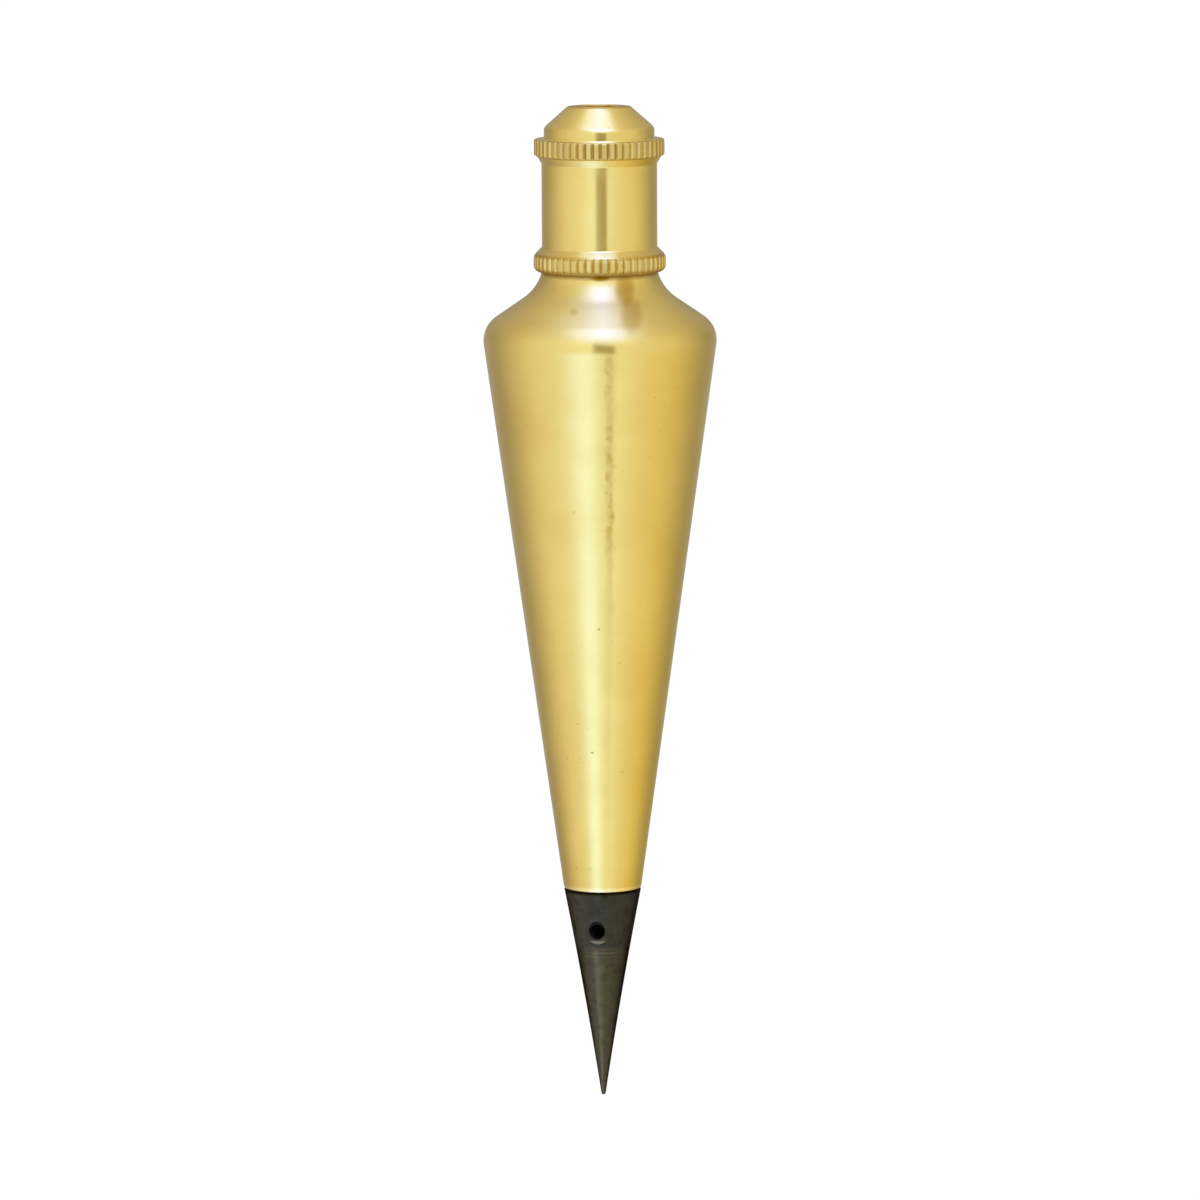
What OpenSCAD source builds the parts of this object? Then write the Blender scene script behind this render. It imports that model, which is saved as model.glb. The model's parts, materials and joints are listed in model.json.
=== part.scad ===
// Plumb bob: a turned brass body, a knurled brass screw cap that holds the line, and a screw-in steel tip.
// Sizes are in millimetres. +Z runs up the axis. The origin is the middle of the line hole in the cap.

/* [Body] */
// Diameter at the widest ring of the shoulder
body_d = 36; // [30:0.1:44]
// Length from the lower end face to the neck face
body_len = 96.2; // [80:0.1:120]
// Diameter of the lower end, where the tip seats
body_end_d = 12; // [10.5:0.1:14]
// Round on the edge of the lower end
body_end_round = 0.35; // [0.1:0.05:0.8]
// Drop from the neck face to the widest ring
shoulder_drop = 10.65; // [9:0.05:14]
// Radius of the round at the widest ring
shoulder_r = 4.3; // [2:0.1:5.5]
// Diameter of the neck face that the cap seats on
neck_face_d = 17.85; // [16.5:0.05:20]
// Height of the neck, from the face down to the corner that the cove rounds off
neck_h = 2.7; // [1.5:0.1:3.5]
// Flare of the neck from the axis, in degrees
neck_flare = 16; // [0:1:20]
// Radius of the cove between the neck and the shoulder
cove_r = 7.8; // [2:0.1:9]
// Round on the edge of the neck face
neck_edge = 0.25; // [0.1:0.05:0.6]

/* [Cap] */
// Diameter over the lower knurled ring, which seats on the body
foot_d = 20.4; // [19.4:0.05:23]
// Height of the lower ring's face, below its slope
foot_h = 2.5; // [2.2:0.05:4.5]
// Slope from the lower ring up to the barrel, from the axis, in degrees
foot_slope = 45; // [35:1:60]
// Round between the face and the slope of the lower ring
foot_round = 1.45; // [0.4:0.05:2]
// Round on the under edge of the lower ring
foot_under = 1; // [0.2:0.05:1.1]
// Diameter over the upper knurled ring
grip_d = 20.1; // [19.4:0.05:23]
// Height of the upper ring's face
grip_h = 2.35; // [2:0.05:4.5]
// Cut on the top edge of the upper ring
grip_edge = 0.15; // [0.1:0.05:0.8]
// Width of the cut under the upper ring's face
grip_under_w = 0.5; // [0.1:0.05:0.7]
// Height of the cut under the upper ring's face
grip_under_h = 0.3; // [0.1:0.05:0.8]
// Height of the slope from that cut down to the barrel
grip_slope_h = 1.1; // [0.5:0.05:2]
// Round between the face and the cut under it
grip_round = 0.25; // [0.1:0.05:0.6]
// Fillet where each ring's slope meets the barrel
ring_fillet = 0.4; // [0.1:0.05:1]
// Diameter of the plain barrel between the rings
barrel_d = 17.8; // [16.6:0.1:18.4]
// Length of the plain barrel
barrel_len = 12.85; // [10:0.05:20]
// Diameter of the dome's upright foot
dome_d = 17.05; // [15:0.05:18]
// Height of the dome's upright foot
dome_foot_h = 1.8; // [1:0.1:3]
// Fillet at the bottom of the dome's upright foot
dome_fillet = 0.4; // [0.1:0.05:0.6]
// Height of the dome's slope
dome_h = 3.2; // [2.5:0.1:6]
// Diameter of the flat on top of the dome
dome_top_d = 9.8; // [7:0.05:12]
// Round at the bottom of the dome's slope
dome_round = 1.1; // [0.4:0.1:2]
// Round at the top of the dome's slope
dome_top_round = 0.4; // [0.2:0.1:2]

/* [Knurl] */
// Number of grooves round each ring
knurl_count = 51; // [36:1:64]
// Depth of each groove
knurl_depth = 0.3; // [0.2:0.05:0.6]

/* [Line passage] */
// Diameter of the line hole
line_hole_d = 3; // [2:0.1:4.5]
// Length of the straight wall of the line hole
line_hole_len = 4; // [2.5:0.1:6]
// Round at the mouth of the line hole
line_mouth_round = 0.6; // [0.2:0.1:1]
// Diameter of the knot chamber inside the cap
chamber_d = 9; // [7:0.1:10]
// Point angle of the drills that made the holes, in degrees
drill_angle = 118; // [90:1:140]

/* [Cap screw] */
// Outer diameter of the screw below the cap
spigot_d = 12.7; // [11.8:0.1:14]
// Length of the screw below the cap
spigot_len = 9.5; // [6:0.1:13]
// Width of the runout groove above the screw
spigot_groove_w = 1.2; // [0.6:0.1:2]
// Depth of the runout groove above the screw
spigot_groove_t = 0.6; // [0.2:0.05:0.9]
// Cut on the leading edge of the screw
spigot_cut = 0.7; // [0.3:0.1:1]
// Depth of the socket past the end of the screw
socket_spare = 1; // [0.5:0.1:3]

/* [Tip] */
// Diameter of the tip at its top
tip_d = 12; // [10:0.1:13.5]
// Length of the tip from its top to its point
tip_len = 32.85; // [24:0.05:44]
// Sag of the tip's side halfway, which makes the cone slightly hollow
tip_hollow = 0.18; // [0:0.01:0.4]
// Radius of the blunted point
point_r = 0.3; // [0.1:0.01:0.5]
// Cut on the edge of the tip's top
tip_edge = 0.25; // [0.1:0.05:0.6]
// Diameter of the cross hole that takes a pin for unscrewing
pin_hole_d = 2.4; // [1.6:0.1:3]
// Drop from the tip's top to the cross hole
pin_hole_drop = 6.35; // [4:0.05:9]
// Depth of the countersink at each mouth of the cross hole
pin_hole_sink = 0.25; // [0.1:0.05:0.5]

/* [Tip screw] */
// Outer diameter of the screw above the tip
stud_d = 6.35; // [5:0.05:8]
// Length of the screw above the tip
stud_len = 10; // [6:0.1:14]
// Width of the runout groove below the screw
stud_groove_w = 1; // [0.5:0.1:2]
// Depth of the runout groove below the screw
stud_groove_t = 0.5; // [0.2:0.05:0.7]
// Cut on the leading edge of the screw
stud_cut = 0.6; // [0.2:0.1:0.9]
// Depth of the tapped hole past the end of the screw
stud_spare = 1.5; // [0.5:0.1:4]

/* [Fits] */
// Gap between each screw and its hole, on the radius
screw_gap = 0.05; // [0.02:0.01:0.2]
// Cut at the mouth of each tapped hole
mouth_cut = 0.5; // [0.2:0.1:0.8]

/* [Hidden] */
$fn = 96;

BRASS = [0.86, 0.74, 0.38];
BLACK_STEEL = [0.24, 0.23, 0.2];

// Steps in each round, in the hollow side of the tip, and the single step that makes a flat cut.
ROUND_STEPS = 8;
EDGE_STEPS = 4;
HOLLOW_STEPS = 10;
CUT = 1;

// How far a cutting tool runs past the surface that it cuts.
overrun = 1;

// Heights of the pieces above the point of the tip.
body_z = tip_len;
cap_z = body_z + body_len;

// Heights within the cap, above its seat. The lower ring's slope is as tall as its angle makes it.
barrel_z = foot_h + (foot_d - barrel_d) / 2 / tan(foot_slope);
barrel_top_z = barrel_z + barrel_len;
grip_under_z = barrel_top_z + grip_slope_h;
grip_z = grip_under_z + grip_under_h;
dome_z = grip_z + grip_h;
slope_z = dome_z + dome_foot_h;
cap_h = slope_z + dome_h;
line_hole_z = cap_h - line_mouth_round - line_hole_len;
chamber_top_z = line_hole_z - drill_point(chamber_d) + drill_point(line_hole_d);

// The middle of the line hole, which is the origin of the part.
origin_z = cap_z + line_hole_z + line_hole_len / 2;

// The tapped holes in the body follow the screws that go in them.
socket_d = spigot_d + 2 * screw_gap;
socket_depth = spigot_len + socket_spare;
stud_hole_d = stud_d + 2 * screw_gap;
stud_hole_depth = stud_len + stud_spare;

// The shoulder's round, the neck's corner, and the corner where taper and shoulder would meet unrounded.
shoulder_centre = [body_d / 2 - shoulder_r, body_len - shoulder_drop];
end_corner = [body_end_d / 2, 0];
neck_corner = [neck_face_d / 2 + neck_h * tan(neck_flare), body_len - neck_h];
taper_contact = contact_angle(shoulder_centre, shoulder_r, end_corner, 1);
slope_contact = contact_angle(shoulder_centre, shoulder_r, neck_corner, -1);
shoulder_corner = shoulder_centre
    + shoulder_r / cos((slope_contact - taper_contact) / 2) * compass((slope_contact + taper_contact) / 2);

// The tip's cone at a height above its point. The sag is greatest halfway and none at the ends.
function tip_radius(z) =
    let (share = z / tip_len)
    point_r + (tip_d / 2 - point_r) * share - 4 * tip_hollow * share * (1 - share);
pin_hole_z = tip_len - pin_hole_drop;
pin_hole_reach = tip_radius(pin_hole_z);

// Depth of the cone that a drill of this diameter leaves.
function drill_point(d) = d / 2 / tan(drill_angle / 2);

function compass(angle) = [cos(angle), sin(angle)];
function unit(v) = v / norm(v);
function flat_angle(v) = atan2(v[1], v[0]);

// Direction from a circle's centre to the place where a line from an outside point touches it.
function contact_angle(centre, r, point, side) =
    flat_angle(point - centre) + side * acos(r / norm(point - centre));

// A turned outline is a ring of corners, each [radius, height], with a round and its steps where the edge is eased.
function place(corner) = [corner[0], corner[1]];
function round_of(corner) = len(corner) > 2 ? corner[2] : 0;
function steps_of(corner) = len(corner) > 3 ? corner[3] : ROUND_STEPS;
function at(ring, i) = ring[(i + len(ring)) % len(ring)];
function side(ring, i) = place(at(ring, i + 1)) - place(at(ring, i));
function half_turn(ring, i) = acos(-unit(side(ring, i - 1)) * unit(side(ring, i))) / 2;

// How far a corner's round would reach along its sides, and the share of that which both sides have room for.
function reach(ring, i) = round_of(at(ring, i)) == 0 ? 0 : round_of(at(ring, i)) / tan(half_turn(ring, i));
function room(ring, i) =
    let (taken = reach(ring, i) + reach(ring, i + 1))
    taken == 0 ? 1 : min(1, norm(side(ring, i)) / taken);
function eased_reach(ring, i) = reach(ring, i) * min(room(ring, i - 1), room(ring, i));

// The points of one corner: the corner itself, or an arc that touches both of its sides.
function eased(ring, i) =
    let (corner = place(at(ring, i)), length = eased_reach(ring, i))
    length == 0 ? [corner] :
    let (
        back = -unit(side(ring, i - 1)),
        onward = unit(side(ring, i)),
        half = half_turn(ring, i),
        r = length * tan(half),
        centre = corner + unit(back + onward) * r / sin(half),
        start = flat_angle(corner + back * length - centre),
        turn = flat_angle(corner + onward * length - centre) - start,
        sweep = turn > 180 ? turn - 360 : turn < -180 ? turn + 360 : turn,
        steps = steps_of(at(ring, i))
    )
    [for (k = [0 : steps]) centre + r * compass(start + sweep * k / steps)];

module turned(ring)
{
    rotate_extrude()
        polygon([for (i = [0 : len(ring) - 1]) each eased(ring, i)]);
}

// Sets a piece at its height above the tip's point, seen from the origin in the line hole.
module at_height(z)
{
    translate([0, 0, z - origin_z])
        children();
}

// Grooves for one knurled ring, each a square bar with one edge towards the axis.
module knurl(d, z, h)
{
    bar = (knurl_depth + overrun) * sqrt(2);
    for (i = [0 : knurl_count - 1])
        rotate(i * 360 / knurl_count)
            translate([d / 2 - knurl_depth, 0, z])
                rotate(-45)
                    cube([bar, bar, h]);
}

// The heavy turned body, with a tapped socket for the cap above and a tapped hole for the tip below.
module body()
{
    color(BRASS)
        at_height(body_z)
            turned([
                [0, stud_hole_depth + drill_point(stud_hole_d)],
                [stud_hole_d / 2, stud_hole_depth],
                [stud_hole_d / 2, mouth_cut],
                [stud_hole_d / 2 + mouth_cut, 0],
                [end_corner[0], end_corner[1], body_end_round, EDGE_STEPS],
                [shoulder_corner[0], shoulder_corner[1], shoulder_r, 2 * ROUND_STEPS],
                [neck_corner[0], neck_corner[1], cove_r, 2 * ROUND_STEPS],
                [neck_face_d / 2, body_len, neck_edge, EDGE_STEPS],
                [socket_d / 2 + mouth_cut, body_len],
                [socket_d / 2, body_len - mouth_cut],
                [socket_d / 2, body_len - socket_depth],
                [0, body_len - socket_depth - drill_point(socket_d)]
            ]);
}

// The screw cap, turned and drilled in one piece: screw, knurled foot, barrel, knurled grip and dome.
module cap()
{
    groove_r = spigot_d / 2 - spigot_groove_t;
    color(BRASS)
        at_height(cap_z)
            difference()
            {
                turned([
                    [chamber_d / 2, -spigot_len],
                    [spigot_d / 2, -spigot_len, spigot_cut, CUT],
                    [spigot_d / 2, -spigot_groove_w],
                    [groove_r, -spigot_groove_w],
                    [groove_r, 0],
                    [foot_d / 2, 0, foot_under, EDGE_STEPS],
                    [foot_d / 2, foot_h, foot_round, EDGE_STEPS],
                    [barrel_d / 2, barrel_z, ring_fillet, EDGE_STEPS],
                    [barrel_d / 2, barrel_top_z, ring_fillet, EDGE_STEPS],
                    [grip_d / 2 - grip_under_w, grip_under_z],
                    [grip_d / 2, grip_z, grip_round, EDGE_STEPS],
                    [grip_d / 2, dome_z, grip_edge, CUT],
                    [dome_d / 2, dome_z, dome_fillet, EDGE_STEPS],
                    [dome_d / 2, slope_z, dome_round],
                    [dome_top_d / 2, cap_h, dome_top_round, EDGE_STEPS],
                    [line_hole_d / 2, cap_h, line_mouth_round],
                    [line_hole_d / 2, line_hole_z],
                    [chamber_d / 2, chamber_top_z]
                ]);
                knurl(foot_d, -overrun, foot_h + 2 * overrun);
                knurl(grip_d, grip_z - overrun, grip_h + 2 * overrun);
            }
}

// The steel tip: a blunted, slightly hollow cone with a screw on top and a countersunk cross hole for a pin.
module tip()
{
    groove_r = stud_d / 2 - stud_groove_t;
    stud_top = tip_len + stud_len;
    color(BLACK_STEEL)
        at_height(0)
            difference()
            {
                turned([
                    [0, 0],
                    [point_r, 0, point_r, EDGE_STEPS],
                    for (k = [1 : HOLLOW_STEPS - 1])
                        let (z = tip_len * k / HOLLOW_STEPS)
                        [tip_radius(z), z],
                    [tip_d / 2, tip_len, tip_edge, CUT],
                    [groove_r, tip_len],
                    [groove_r, tip_len + stud_groove_w],
                    [stud_d / 2, tip_len + stud_groove_w],
                    [stud_d / 2, stud_top, stud_cut, CUT],
                    [0, stud_top]
                ]);
                translate([0, 0, pin_hole_z])
                    pin_hole();
            }
}

// A straight hole across the tip along Y, with a countersink at each mouth.
module pin_hole()
{
    run = pin_hole_reach + overrun;
    sink_r = pin_hole_d / 2;
    rotate([90, 0, 0])
        cylinder(d = pin_hole_d, h = 2 * run, center = true);
    for (mouth = [0, 180])
        rotate([90, 0, mouth])
            translate([0, 0, pin_hole_reach - pin_hole_sink])
                cylinder(r1 = sink_r, r2 = sink_r + pin_hole_sink + overrun, h = pin_hole_sink + overrun);
}

body();
cap();
tip();
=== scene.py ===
# %% [markdown]
# # A brass plumb bob, made in Blender
#
# A plumb bob is a pointed weight on a line. Hung still, it shows the true vertical. This one has three
# pieces: a heavy brass body, a knurled brass cap that holds the line, and a steel tip that can be changed.
#
# The imported solids come in first. They fix where every piece sits and how large it is.

# %% Load the solids
import json

import bpy
import numpy as np
from mathutils import Matrix, Vector

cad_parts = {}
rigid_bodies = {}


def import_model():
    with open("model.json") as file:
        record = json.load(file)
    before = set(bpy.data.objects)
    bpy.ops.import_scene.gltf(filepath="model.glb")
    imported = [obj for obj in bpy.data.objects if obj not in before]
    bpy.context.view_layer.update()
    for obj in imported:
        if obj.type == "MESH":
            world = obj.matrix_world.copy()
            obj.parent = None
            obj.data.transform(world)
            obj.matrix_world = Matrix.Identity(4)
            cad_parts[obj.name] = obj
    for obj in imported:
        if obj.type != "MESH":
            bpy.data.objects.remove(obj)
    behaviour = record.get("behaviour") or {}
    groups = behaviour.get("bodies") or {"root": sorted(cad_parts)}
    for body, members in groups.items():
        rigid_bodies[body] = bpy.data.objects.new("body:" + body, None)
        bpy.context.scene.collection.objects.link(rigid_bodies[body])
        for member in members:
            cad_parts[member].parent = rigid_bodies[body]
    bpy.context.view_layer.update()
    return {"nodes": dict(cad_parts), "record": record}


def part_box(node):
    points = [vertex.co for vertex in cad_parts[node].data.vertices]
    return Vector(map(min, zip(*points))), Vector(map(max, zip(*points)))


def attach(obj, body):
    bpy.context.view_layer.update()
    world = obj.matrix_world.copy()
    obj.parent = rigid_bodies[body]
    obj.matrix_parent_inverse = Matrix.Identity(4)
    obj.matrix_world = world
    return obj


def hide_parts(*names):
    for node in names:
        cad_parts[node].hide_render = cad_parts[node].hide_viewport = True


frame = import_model()
print("solids:", ", ".join(sorted(frame["nodes"])))

# %% [markdown]
# ## Levels and diameters
#
# All shapes below are worked out in millimetres, in the frame of the solids: Z runs up the axis, and zero
# is the middle of the line hole. The levels where pieces meet and the largest diameters are read from the
# solids, and so are the two holes that other things go into. The sizes in between repeat the source's own.

# %% Read the levels from the frame
MM = 0.001


def node_span(node):
    """Lowest and highest corner of a solid, in millimetres."""
    low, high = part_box(node)
    return np.array(low) / MM, np.array(high) / MM


body_low, body_high = node_span("body")
cap_low, cap_high = node_span("cap")
tip_low, tip_high = node_span("tip")
mounts = {mount["name"]: mount for mount in frame["record"]["mounts"]}

neck_z = body_high[2]
end_z = body_low[2]
cap_top_z = cap_high[2]
spigot_end_z = cap_low[2]
stud_end_z = tip_high[2]
point_z = tip_low[2]
body_r = body_high[0]
foot_r = cap_high[0]
line_hole_r = mounts["line_hole"]["dims"]["r_mm"]
pin_hole_r = mounts["pin_hole"]["dims"]["r_mm"]
pin_hole_z = mounts["pin_hole"]["pos_m"][2] / MM
print(f"length {cap_top_z - point_z:.1f} mm, body {2 * body_r:.1f} mm across, cap {2 * foot_r:.1f} mm")

# %% [markdown]
# ## Turned outlines
#
# Every piece here comes off a lathe, so each is half a cross-section carried round the axis. The section
# is a short list of corners, each a radius, a height and the round that eases the edge. Real edges are
# never perfectly sharp, and the small rounds are what catch the light, so even crisp corners get one.
#
# A bevel modifier could round the edges too, but working the arcs out keeps the rounds exact, and every
# row of the mesh then lies where the surface really turns.

# %% Rounds on the corners of an outline
ARC_STEPS = 8
CRISP = 0.06
TINY = 1e-6


def eased(corners):
    """Corners (radius, height, round) to a smooth ring of points.

    At each corner the arc touches both sides. Its reach along a side is the round divided by the tangent of
    half the corner's angle, and where two arcs want more than the side between them, both shrink to fit.
    """
    table = np.array(corners, dtype=float)
    place, rounds = table[:, :2], table[:, 2]
    onward = np.roll(place, -1, axis=0) - place
    length = np.linalg.norm(onward, axis=1)
    onward = onward / length[:, None]
    back = -np.roll(onward, 1, axis=0)
    half = np.arccos(np.clip((onward * back).sum(axis=1), -1, 1)) / 2
    reach = rounds / np.tan(half)
    taken = np.maximum(reach + np.roll(reach, -1), TINY)
    share = np.minimum(1, length / taken)
    reach = reach * np.minimum(share, np.roll(share, 1))
    middle = onward + back
    middle = middle / np.linalg.norm(middle, axis=1)[:, None]
    radius = reach * np.tan(half)
    centre = place + middle * (radius / np.sin(half))[:, None]
    first = place + back * reach[:, None] - centre
    last = place + onward * reach[:, None] - centre
    start = np.arctan2(first[:, 1], first[:, 0])
    sweep = np.arctan2(last[:, 1], last[:, 0]) - start
    sweep = (sweep + np.pi) % (2 * np.pi) - np.pi
    angle = start[:, None] + sweep[:, None] * np.linspace(0, 1, ARC_STEPS + 1)
    arcs = centre[:, None, :] + radius[:, None, None] * np.stack([np.cos(angle), np.sin(angle)], axis=-1)
    points = arcs.reshape(-1, 2)
    points[:, 0] = np.where(points[:, 0] < TINY, 0, points[:, 0])
    gap = np.linalg.norm(points - np.roll(points, 1, axis=0), axis=1)
    return points[gap > TINY]


def with_rows(outline, start, end, count):
    """The outline with more rows between two of its points: count of them, spread evenly along its length."""
    step = np.linalg.norm(np.diff(outline, axis=0), axis=1)
    along = np.concatenate([[0], np.cumsum(step)])
    ends = [along[np.argmin(np.linalg.norm(outline - spot, axis=1))] for spot in (start, end)]
    rows = np.union1d(along, np.linspace(ends[0], ends[1], count))
    rows = rows[np.concatenate([[True], np.diff(rows) > TINY])]
    return np.stack([np.interp(rows, along, outline[:, k]) for k in (0, 1)], axis=1)


# %% [markdown]
# ## From arrays to a mesh
#
# A grid of points becomes a mesh in one step. Points that fall together, such as the pole of a drilled
# hole, are welded, and a quad that loses a corner that way becomes a triangle. The normals are averaged by
# area: a long flat face then keeps its own direction right up to the round beside it, which matters on
# polished metal, where a normal that is slightly off shows as a bent reflection.

# %% Grids, welding and normals
WELD = 1e-4
NEVER_ZERO = 1e-30


def grid_faces(rows, columns, close_rows=False, first=0):
    """Quads of a grid whose columns meet round the axis. Each turns from column to row, to face outwards."""
    row = np.arange(rows if close_rows else rows - 1)[:, None]
    column = np.arange(columns)[None, :]
    beside = (column + 1) % columns
    here = row * columns
    above = (row + 1) % rows * columns
    corners = [here + column, here + beside, above + beside, above + column]
    return first + np.stack(np.broadcast_arrays(*corners), axis=-1)


def welded(points, quads):
    """Makes points that lie together one.

    Returns the numbers of the points that stay, the whole quads, and triangles from quads that lost a corner.
    """
    keys = np.round(points / WELD).astype(np.int64)
    _, kept, new_index = np.unique(keys, axis=0, return_index=True, return_inverse=True)
    quads = new_index.reshape(-1)[quads]
    double = quads == np.roll(quads, -1, axis=1)
    doubles = double.sum(axis=1)
    shrunken = doubles == 1
    triangles = quads[shrunken][~double[shrunken]].reshape(-1, 3)
    return kept, quads[doubles == 0], triangles


def area_normals(points, quads, triangles):
    """Vertex normals: the sum of the faces' normals, each as long as its face is large."""
    total = np.zeros_like(points)
    for faces in (quads, triangles):
        corner = points[faces]
        normal = np.cross(corner[:, 2] - corner[:, 0], corner[:, -1] - corner[:, 1])
        np.add.at(total, faces, normal[:, None, :])
    return total / np.maximum(np.linalg.norm(total, axis=1), NEVER_ZERO)[:, None]


# %% One object from the arrays
CUBIC_CM = 1000


def put(name, data):
    """A new object at the origin, in the scene."""
    thing = bpy.data.objects.new(name, data)
    bpy.context.collection.objects.link(thing)
    return thing


def enclosed_volume(points, quads, triangles):
    """Volume inside a closed mesh: the sum of the wedges between its triangles and the origin."""
    fan = np.concatenate([quads[:, [0, 1, 2]], quads[:, [0, 2, 3]], triangles])
    a, b, c = points[fan[:, 0]], points[fan[:, 1]], points[fan[:, 2]]
    return (a * np.cross(b, c)).sum() / 6


def make_piece(name, node, points, quads, grime):
    """One smooth object from points in millimetres. It rides where its solid rides and stands for it."""
    kept, quads, triangles = welded(points, quads)
    points = points[kept]
    mesh = bpy.data.meshes.new(name)
    mesh.vertices.add(len(points))
    mesh.vertices.foreach_set("co", (points * MM).astype(np.float32).ravel())
    corners = np.concatenate([quads.ravel(), triangles.ravel()])
    mesh.loops.add(len(corners))
    mesh.loops.foreach_set("vertex_index", corners.astype(np.int32))
    sides = np.concatenate([np.full(len(quads), 4), np.full(len(triangles), 3)])
    mesh.polygons.add(len(sides))
    mesh.polygons.foreach_set("loop_start", (np.cumsum(sides) - sides).astype(np.int32))
    mesh.update(calc_edges=True)
    mesh.polygons.foreach_set("use_smooth", np.ones(len(sides), dtype=bool))
    layer = mesh.attributes.new("grime", "FLOAT", "POINT")
    layer.data.foreach_set("value", grime[kept].astype(np.float32))
    mesh.normals_split_custom_set_from_vertices(area_normals(points, quads, triangles))
    mesh.validate()
    piece = put(name, mesh)
    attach(piece, node)
    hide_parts(node)
    volume = enclosed_volume(points, quads, triangles) / CUBIC_CM
    print(f"{name}: {len(quads)} quads, {len(triangles)} triangles, {volume:.2f} cubic cm")
    return piece


# %% [markdown]
# ## Threads
#
# Both screws are cut threads, and they show when the cap or the tip is taken off. The Screw modifier makes
# a thread too, but as a piece of its own. Here it is a groove whose depth depends on one number: how many
# turns along the helix a point lies. One formula cuts the screw and its hole, a small gap apart.

# %% Depth of a screw thread
SCREW_GAP = 0.05
FLAT = 0.125


def thread_depth(angle, height, pitch, depth):
    """Depth below the crest of a right-hand thread.

    The turns along the helix are the height over the pitch, less the angle as a share of a full turn. Their
    fraction, folded into a triangle wave and cut flat at crest and root, gives the share of the full depth.
    """
    turns = height / pitch - angle / (2 * np.pi)
    wave = np.abs(2 * (turns - np.floor(turns)) - 1)
    return depth * np.clip((wave - FLAT) / (1 - 2 * FLAT), 0, 1)


def lathe_points(radius, height, angle):
    """Points of a turned grid: radius and height for each row and column, angle for each column."""
    x = radius * np.cos(angle)
    y = radius * np.sin(angle)
    return np.stack(np.broadcast_arrays(x, y, height), axis=-1).reshape(-1, 3)


# %% [markdown]
# ## The body
#
# The body is one brass turning. A straight taper runs up to a rounded shoulder, and a cove leads into a
# short neck with a flat face, where the cap seats. Both ends are drilled and tapped. The shoulder's round
# is a circle, and the taper and the slope above it are the lines that just touch that circle.
#
# A Screw modifier could spin the outline, but in the threads the radius changes from column to column, so
# the grid is worked out.

# %% Outline of the body
BODY_TURNS = 256
DRILL_POINT = 118
DRILL_SLOPE = np.tan(np.radians(DRILL_POINT / 2))
MOUTH_CUT = 0.5

body_end_r = 12 / 2
end_edge = 0.35
neck_face_r = 17.85 / 2
neck_edge = 0.25
neck_h = 2.7
neck_flare = np.radians(16)
shoulder_r = 4.3
shoulder_drop = 10.65
cove_r = 7.8
spigot_r = 12.7 / 2
socket_r = spigot_r + SCREW_GAP
socket_room = 1
socket_end_z = spigot_end_z - socket_room
stud_r = 6.35 / 2
stud_hole_r = stud_r + SCREW_GAP
stud_room = 1.5
stud_hole_end_z = stud_end_z + stud_room


def contact_angle(centre, radius, point, side):
    """Direction from a circle's centre to where a line from an outside point touches it."""
    away = point - centre
    return np.arctan2(away[1], away[0]) + side * np.arccos(radius / np.linalg.norm(away))


shoulder_centre = np.array([body_r - shoulder_r, neck_z - shoulder_drop])
neck_corner = np.array([neck_face_r + neck_h * np.tan(neck_flare), neck_z - neck_h])
taper_contact = contact_angle(shoulder_centre, shoulder_r, np.array([body_end_r, end_z]), 1)
slope_contact = contact_angle(shoulder_centre, shoulder_r, neck_corner, -1)
middle_contact = (slope_contact + taper_contact) / 2
shoulder_reach = shoulder_r / np.cos((slope_contact - taper_contact) / 2)
shoulder_way = np.array([np.cos(middle_contact), np.sin(middle_contact)])
shoulder_corner = shoulder_centre + shoulder_reach * shoulder_way

body_outline = eased([
    (0, stud_hole_end_z + stud_hole_r / DRILL_SLOPE, 0),
    (stud_hole_r, stud_hole_end_z, CRISP),
    (stud_hole_r, end_z + MOUTH_CUT, CRISP),
    (stud_hole_r + MOUTH_CUT, end_z, CRISP),
    (body_end_r, end_z, end_edge),
    (*shoulder_corner, shoulder_r),
    (*neck_corner, cove_r),
    (neck_face_r, neck_z, neck_edge),
    (socket_r + MOUTH_CUT, neck_z, CRISP),
    (socket_r, neck_z - MOUTH_CUT, CRISP),
    (socket_r, socket_end_z, CRISP),
    (0, socket_end_z - socket_r / DRILL_SLOPE, 0),
])
print(f"taper {-np.degrees(taper_contact):.2f} degrees, shoulder {np.degrees(slope_contact):.1f} degrees")

# %% Cut the threads
CAP_PITCH, CAP_DEPTH = 1.27, 0.55
TIP_PITCH, TIP_DEPTH = 0.907, 0.42
ROWS_PER_TURN = 9
RUN_OUT = 1


def thread_rows(outline, radius, low, high, pitch):
    """Rows close enough together to carry a thread between two heights of a straight wall."""
    count = int(ROWS_PER_TURN * (high - low) / pitch)
    return with_rows(outline, (radius, low), (radius, high), count)


def tapped(radius, height, wall, low, high, pitch, depth):
    """Radius of a tapped hole: the thread stands in from the wall, and fades out over a turn at each end."""
    inside = (np.abs(radius - wall) < 2 * CRISP) & (height > low) & (height < high)
    ease = np.clip(np.minimum(height - low, high - height) / pitch, 0, 1)
    return np.where(inside, radius - ease * thread_depth(angle, height, pitch, depth), radius)


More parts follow.
